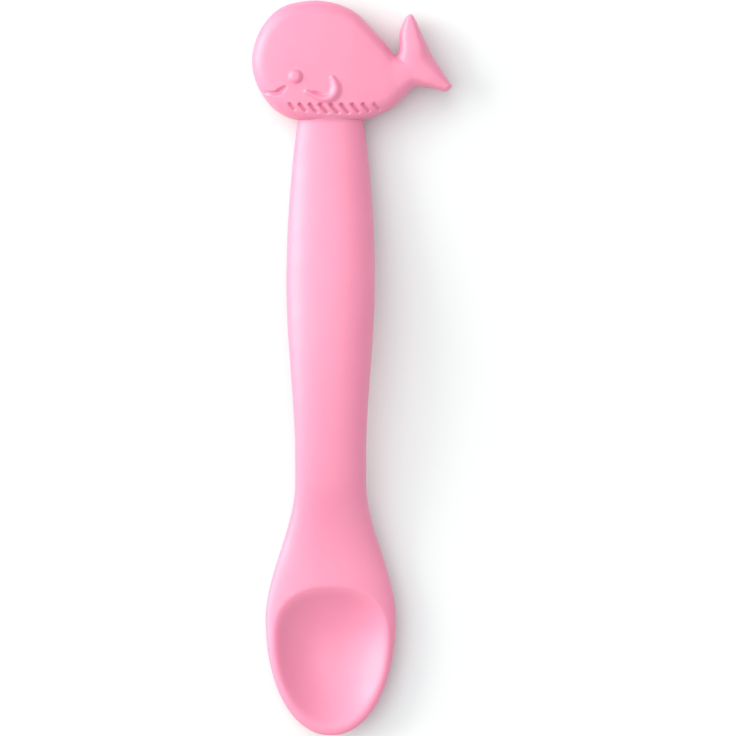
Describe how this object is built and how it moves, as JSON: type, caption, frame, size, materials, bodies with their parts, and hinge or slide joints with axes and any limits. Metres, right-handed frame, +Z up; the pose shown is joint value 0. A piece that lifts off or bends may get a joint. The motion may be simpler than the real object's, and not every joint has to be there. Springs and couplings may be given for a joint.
{
  "type": "baby spoon",
  "caption": "Soft silicone baby spoon with a shallow oval bowl, a swelling handle bent like a low arch, and a smiling whale as its handle end.",
  "frame": {"origin": "on the whale's flat back, at half the whale's height, on the handle's centre line", "axes": "+Y along the spoon from the bowl to the whale, +Z up out of the bowl, with the spoon lying on its back"},
  "size_m": [0.038, 0.1396, 0.0134],
  "materials": {
    "pink_silicone": "satin moulded silicone, slightly translucent",
    "natural_nylon": "fine matt mould texture"
  },
  "bodies": {
    "root": {"spoon_jacket": "pink_silicone", "whale_topper": "pink_silicone", "stiffener_core": "natural_nylon"}
  },
  "joints": []
}
